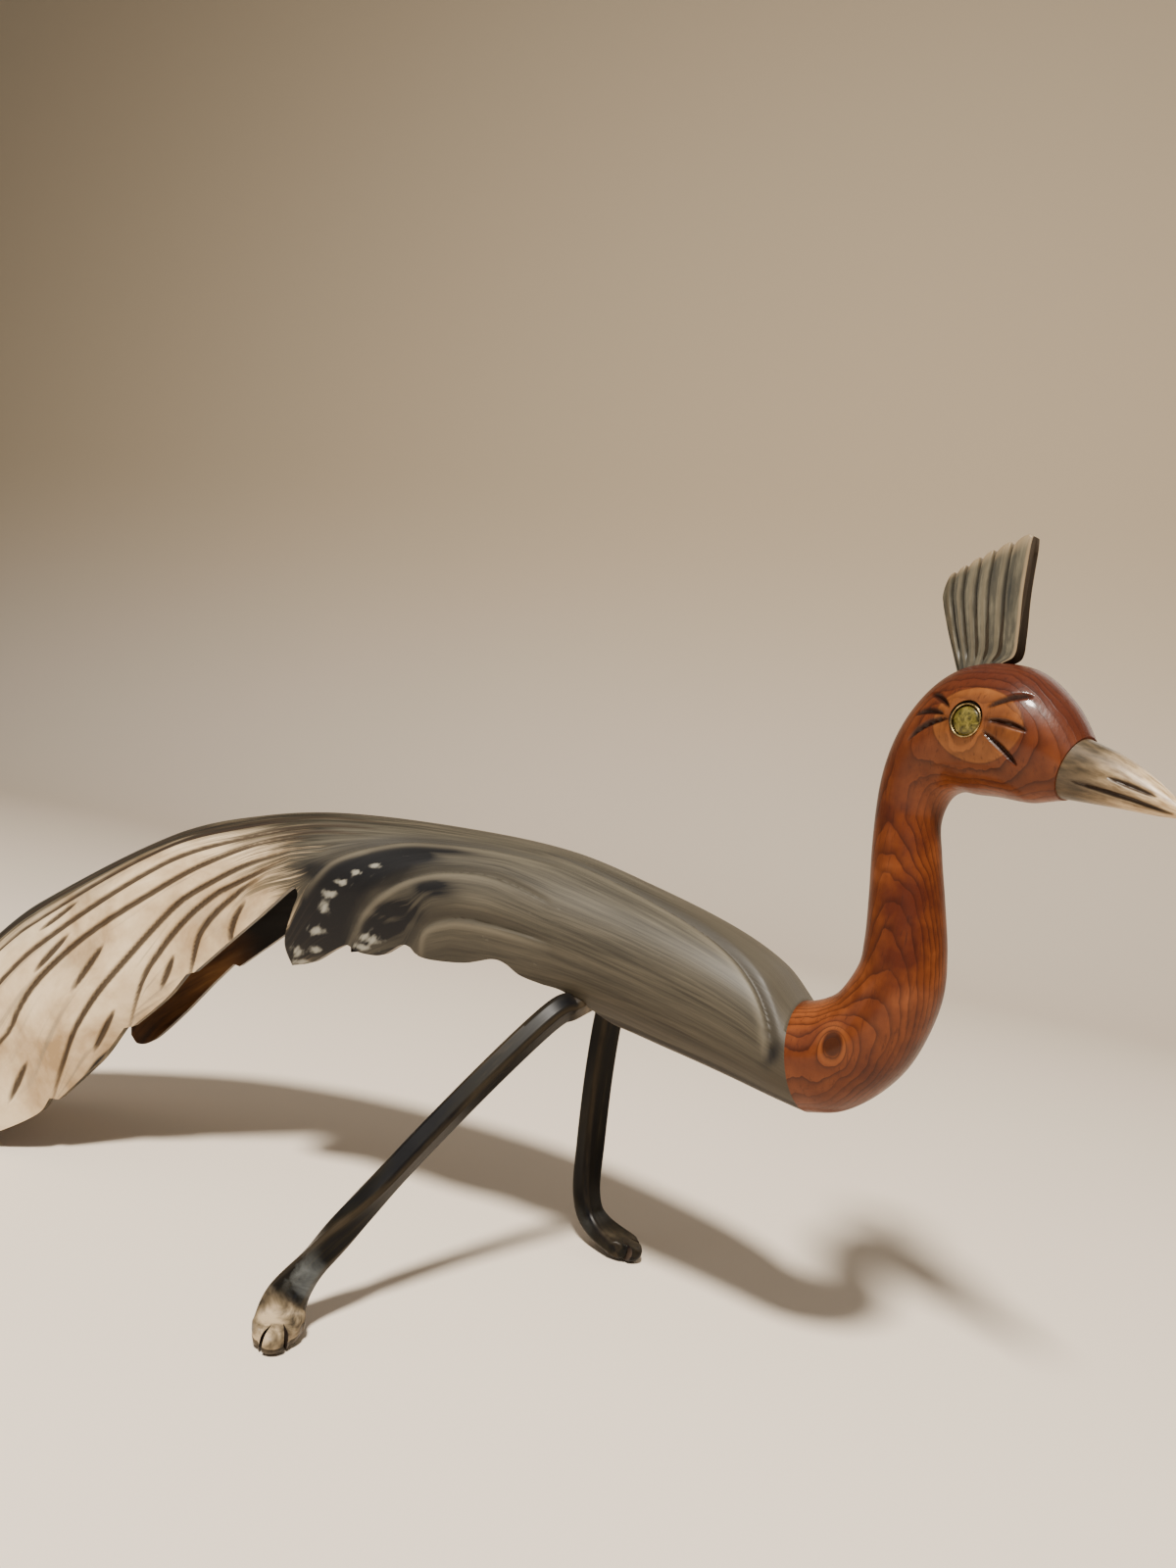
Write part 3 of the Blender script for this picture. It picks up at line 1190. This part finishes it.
class BuildCrest(bpy.types.Operator):
    """Models the fan crest: a grooved plate with rounded lobes"""

    bl_idname = "peacock.build_crest"
    bl_label = "Crest"

    def execute(self, context):
        half = sizes()["crest_thickness"] / 2
        piece, u, v = flat_sheet("horn_crest_fan", 240, 190)
        # One row runs up the left face, over the top and down the right face; columns go back to front
        rise = 1 - np.abs(2 * u - 1)
        side = np.where(u < 0.5, 1.0, -1.0)
        climb = np.clip(rise / 0.985, 0, 1)
        gaps = np.array(CREST_GAPS)
        lobe = np.clip(np.searchsorted(gaps, v, side="right") - 1, 0, len(gaps) - 2)
        phase = (v - gaps[lobe]) / (gaps[lobe + 1] - gaps[lobe])
        bulge = np.sqrt(np.clip(1 - np.clip(1 - phase / 0.6, 0, 1) ** 2, 0, 1))
        last = lobe == len(gaps) - 2
        front_lobe = 1 - 0.35 * smoothstep(phase, 0.75, 1.0)
        bulge *= np.where(last, front_lobe, 1 - 0.8 * smoothstep(phase, 0.86, 1.0))
        back, front = (through(edge, 240) for edge in (CREST_BACK, CREST_FRONT))
        row = np.clip((climb * 239).astype(int), 0, 238)
        t = (climb * 239 - row)[:, None]
        low = back[row] * (1 - t) + back[row + 1] * t
        high = front[row] * (1 - t) + front[row + 1] * t
        flat = low * (1 - v[:, None]) + high * v[:, None]
        flat[:, 1] += np.sin(np.pi * v) * climb + (bulge - 0.55) * LOBE_HEIGHT * smoothstep(climb, 0.78, 1.0)
        inner = gaps[1:-1]
        off = v[:, None] - inner
        nearest = off[np.arange(len(v)), np.argmin(np.abs(off), axis=1)] * (12 + 12 * climb)
        fade = smoothstep(climb, 0.2, 0.45)
        groove = np.clip(1 - np.abs(nearest) / 0.55, 0, 1) * fade
        rib = np.exp(-((nearest + 1.15) / (0.5 + 0.5 * (1 - climb))) ** 2) * smoothstep(climb, 0.08, 0.3)
        rounding = np.sqrt(np.clip(1 - np.clip((rise - 0.93) / 0.07, 0, 1) ** 2, 0, 1)) * 0.75 + 0.25
        top = np.where(rise > 0.9999, 0.0, 1.0)
        rear = 0.5 + 0.5 * smoothstep(v, 0.0, 0.1)
        y = side * (half * rounding * rear * top - groove * CREST_GROOVE)
        corners = np.stack((flat[:, 0], np.where(side * y < 0, 0, y), flat[:, 1]), axis=-1)
        put_corners(piece, corners)
        paint(piece, "spine", climb, v)
        paint(piece, "carving", np.clip(groove * 1.4, 0, 1), rib)
        bright = smoothstep(v, 0.945, 0.975)
        paint(piece, "rims", np.maximum(smoothstep(climb, 0.93, 1.0), bright), v > 0.999)
        close_up(piece)
        take_pose(piece)
        finish_piece(piece, (crest_finish(),), "horn_crest", sharp=50.0)
        return {"FINISHED"}


# Legs

LEG_ROWS = 260
SECTION_STEPS = (20, 6, 20, 6)
KNEE = 4
FOOT_THICKNESS = 5.2
LEFT_FOOT_NARROWER = 2.2
BEVEL_WIDTH = 1.2
TOE_NOTCH = ((-7.0, 1.6), (1.5, 3.7), (1.5, 6.2))
NOTCH_REACH = 9


def even_path(points, count):
    """Points at even distances along a smooth curve, and the way it runs at each."""
    fine = through(points, 2000)
    gone = np.concatenate(((0,), np.cumsum(np.linalg.norm(np.diff(fine, axis=0), axis=1))))
    marks = np.linspace(0, gone[-1], count)
    path = np.stack([np.interp(marks, gone, fine[:, k]) for k in range(3)], axis=-1)
    way = np.gradient(path, axis=0)
    return path, way / np.linalg.norm(way, axis=1, keepdims=True), gone[-1]


def unit(vector):
    return vector / np.linalg.norm(vector)


def strip_section():
    """Corners of a bevelled strip's section: place on the inner box, way out of it, and bevel or not."""
    rows = []
    corners = np.array(((1, 1), (-1, 1), (-1, -1), (1, -1)), float)
    faces = np.array(((0, 1), (-1, 0), (0, -1), (1, 0)), float)
    for k, steps in enumerate(SECTION_STEPS):
        start, end = corners[k], corners[(k + 1) % 4]
        face, after = faces[k], faces[(k + 1) % 4]
        for i in range(steps + 1):
            rows.append((*(start + (end - start) * i / steps), *face, 0.5 if i in (0, steps) else 0.0))
        for share in (1 / 3, 2 / 3):
            rows.append((*end, *((face + (after - face) * share) * 1.08), 1.0))
    return np.array(rows)


class BuildLegs(bpy.types.Operator):
    """Models both legs: bevelled strips that spread into three toes"""

    bl_idname = "peacock.build_legs"
    bl_label = "Legs"

    def execute(self, context):
        finish, dark = leg_finish(), drilled_finish()
        for node, side in (("right_leg", -1), ("left_leg", 1)):
            piece = self.leg(node, side, finish, dark)
            take_pose(piece)
            finish_piece(piece, (finish,), node, sharp=40.0)
        return {"FINISHED"}

    def leg(self, node, side, finish, dark):
        size, knots = sizes(), np.array(LEG_PATHS[node], float)
        section = strip_section()
        piece, u, v = flat_sheet(f"bent_{node}", LEG_ROWS, len(section))
        a, b, out_a, out_b, bevel = section[np.rint(v * len(section)).astype(int) % len(section)].T
        t = np.interp(u, (0, 0.7, 1), (0, 0.88, 1))
        count = 600
        path, way, length = even_path(knots, count)
        thigh, knee, ankle, sole = knots[0], knots[KNEE], knots[-3], knots[-1]
        bend_axis = unit(np.cross(thigh - knee, ankle - knee)) * -side
        foot_axis = unit(np.cross(sole - ankle, (0, 0, 1)))
        if foot_axis @ bend_axis < 0:
            foot_axis = -foot_axis
        in_foot = smoothstep(t, 0.8, 0.95)
        tip = np.sqrt(np.clip(1 - np.clip((t - 0.982) / 0.018, 0, 1) ** 2, 0, 1))
        foot_width = size["foot_width"] - (0 if side < 0 else LEFT_FOOT_NARROWER)
        wide = size["leg_width"] * (1 - in_foot) + foot_width * in_foot
        wide = wide * (1 - 0.1 * smoothstep(t, 0.955, 1.0))
        thick = (size["leg_thickness"] * (1 - in_foot) + FOOT_THICKNESS * in_foot) * tip
        chamfer = np.minimum(BEVEL_WIDTH, thick * 0.3)
        over_a = a * (wide / 2 - chamfer) + out_a * chamfer
        over_b = b * (thick / 2 - chamfer) + out_b * chamfer
        # The outer toes end short of the middle one, and each toe is rounded
        outer = np.abs(over_a) / (wide / 2)
        short = 0.012 * np.clip(outer / 0.56, 0, 1) ** 2 + 0.014 * smoothstep(outer, 0.54, 0.66)
        short = short + 0.018 * np.clip((outer - 0.66) / 0.34, 0, 1) ** 2
        place = (t - short * smoothstep(t, 0.92, 1.0)) * (count - 1)
        row = np.clip(place.astype(int), 0, count - 2)
        share = (place - row)[:, None]
        middle = path[row] * (1 - share) + path[row + 1] * share
        ahead = way[row] * (1 - share) + way[row + 1] * share
        turn = smoothstep(t, 0.6, 0.86)[:, None]
        across = bend_axis * (1 - turn) + foot_axis * turn
        across = across - np.sum(across * ahead, axis=1, keepdims=True) * ahead
        across /= np.linalg.norm(across, axis=1, keepdims=True)
        over = np.cross(across, ahead)
        corners = middle + across * over_a[:, None] + over * over_b[:, None]
        corners[:, 2] = np.maximum(corners[:, 2], 0)
        put_corners(piece, corners)
        upward = (across * out_a[:, None] + over * out_b[:, None])[:, 2]
        cream = smoothstep(t, 0.88, 0.93) * (0.15 + 0.85 * smoothstep(upward, -0.1, 0.5))
        cream = cream * (1 if side < 0 else 0.07)
        knee_patch = np.exp(-((t * length - 17) / 4.0) ** 2) * (0.5 if side < 0 else 0.1)
        sheen = np.exp(-((t - 0.845) / 0.03) ** 2) * (0.9 if side < 0 else 0.2)
        paint(piece, "spine", t * length / 100, v * 0.3)
        paint(piece, "patches", cream, knee_patch)
        paint(piece, "rims", bevel, sheen)
        piece.data.materials.append(finish)
        close_up(piece)
        end, ahead = path[-1], way[-1]
        across = unit(foot_axis - (foot_axis @ ahead) * ahead)
        over = np.cross(across, ahead)
        for way_out in (-1, 1):
            below = end - over * NOTCH_REACH
            outline = [below + ahead * along + across * off * way_out for along, off in TOE_NOTCH]
            cut_away(piece, prism("toe_notch", outline, over * 2 * NOTCH_REACH, dark))
        return piece


# The stage, the lights and the camera


def floor_finish():
    """Plain pale paint with the faintest mottle."""
    make = Finish("pale_paint")
    mottle = make.noise(make.spot(), 3.0, 2.0)
    base = tuple(colours().floor)
    plain = make.ramp(mottle, (0.3, tuple(0.985 * c for c in base)), (0.7, base))
    height = make.parts(make.spot())[2]
    colour = make.mix(height.rise(0.02, 0.7), plain, (0.52, 0.43, 0.31))
    return make.done(colour, 0.75, specular_ior_level=0.2)


def area_light(name, from_way, distance, size, power, colour, aim):
    data = bpy.data.lights.new(name, "AREA")
    data.shape, data.size, data.energy, data.color = "DISK", size, power, colour
    light = bpy.data.objects.new(name, data)
    bpy.context.scene.collection.objects.link(light)
    light.location = aim + from_way * distance
    light.rotation_euler = (-from_way).to_track_quat("-Z", "Y").to_euler()


class BuildStage(bpy.types.Operator):
    """Sets the pale floor and backdrop, the soft lights and the camera"""

    bl_idname = "peacock.build_stage"
    bl_label = "Stage"

    def execute(self, context):
        deselect()
        bpy.ops.mesh.primitive_plane_add(size=6.0, location=(0, -1.6, 0))
        floor = context.object
        floor.name = "floor_and_backdrop"
        bpy.ops.object.mode_set(mode="EDIT")
        bpy.ops.mesh.select_mode(type="EDGE")
        bpy.ops.mesh.select_all(action="DESELECT")
        bpy.ops.object.mode_set(mode="OBJECT")
        far = max(edge.index for edge in floor.data.edges
                  if all(floor.data.vertices[k].co.y > 2.9 for k in edge.vertices))
        floor.data.edges[far].select = True
        bpy.ops.object.mode_set(mode="EDIT")
        bpy.ops.mesh.extrude_region_move(TRANSFORM_OT_translate={"value": (0, 0, 3.0)})
        stop_editing()
        modify(floor, "BEVEL", width=0.5, segments=16, limit_method="ANGLE")
        bpy.ops.object.transform_apply(location=True, rotation=True, scale=True)
        floor.data.materials.append(floor_finish())
        bpy.ops.object.shade_smooth()
        aim = Vector((0, 0, 0.08))
        area_light("key", SUN_FROM, 1.5, 0.2, 57.0, (1.0, 0.93, 0.83), aim)
        area_light("fill", Vector((-0.75, -0.5, 0.45)).normalized(), 1.6, 1.2, 3.0, (1.0, 0.97, 0.93), aim)
        area_light("rim", Vector((0.5, 0.7, 0.6)).normalized(), 0.9, 0.5, 1.0, (1.0, 0.95, 0.88), aim)
        world = bpy.data.worlds.new("pale_room")
        world.use_nodes = True
        world.node_tree.nodes["Background"].inputs[0].default_value = (0.9, 0.84, 0.75, 1.0)
        world.node_tree.nodes["Background"].inputs[1].default_value = 0.16
        context.scene.world = world
        self.camera(context)
        return {"FINISHED"}

    def camera(self, context):
        data = bpy.data.cameras.new("camera")
        data.lens, data.sensor_width = CAMERA_LENS, 36.0
        data.clip_start, data.clip_end = 0.01, 20.0
        camera = bpy.data.objects.new("camera", data)
        context.scene.collection.objects.link(camera)
        view, roll = Vector(CAMERA_VIEW).normalized(), math.radians(CAMERA_ROLL)
        level = view.cross(Vector((0, 0, 1))).normalized()
        right = level * math.cos(roll) + Vector((0, 0, 1)) * math.sin(roll)
        up = Vector((0, 0, 1)) * math.cos(roll) - level * math.sin(roll)
        turned = Matrix((right, up, -view)).transposed().to_4x4()
        camera.matrix_world = Matrix.Translation(CAMERA_PLACE) @ turned
        context.scene.camera = camera


class PeacockPanel(bpy.types.Panel):
    """Lists the sizes, the colours and the building steps"""

    bl_idname = "VIEW3D_PT_peacock"
    bl_label = "Peacock"
    bl_space_type = "VIEW_3D"
    bl_region_type = "UI"
    bl_category = "Peacock"

    def draw(self, context):
        for group in (context.scene.peacock_sizes, context.scene.peacock_colours):
            box = self.layout.box()
            for name in own_names(group):
                box.prop(group, name)
        for operator in OPERATORS:
            self.layout.operator(operator.bl_idname)


OPERATORS = (BuildHorn, BuildNeckAndHead, BuildEyes, BuildBeak, BuildCrest, BuildLegs, BuildStage)
CLASSES = (PeacockSizes, PeacockColours, *OPERATORS, PeacockPanel)


def register():
    for made in CLASSES:
        bpy.utils.register_class(made)
    bpy.types.Scene.peacock_sizes = bpy.props.PointerProperty(type=PeacockSizes)
    bpy.types.Scene.peacock_colours = bpy.props.PointerProperty(type=PeacockColours)


def unregister():
    del bpy.types.Scene.peacock_colours
    del bpy.types.Scene.peacock_sizes
    for made in reversed(CLASSES):
        bpy.utils.unregister_class(made)


def main():
    register()
    bpy.ops.peacock.build_horn()
    bpy.ops.peacock.build_neck_and_head()
    bpy.ops.peacock.build_eyes()
    bpy.ops.peacock.build_beak()
    bpy.ops.peacock.build_crest()
    bpy.ops.peacock.build_legs()
    bpy.ops.peacock.build_stage()


if __name__ == "__main__":
    main()
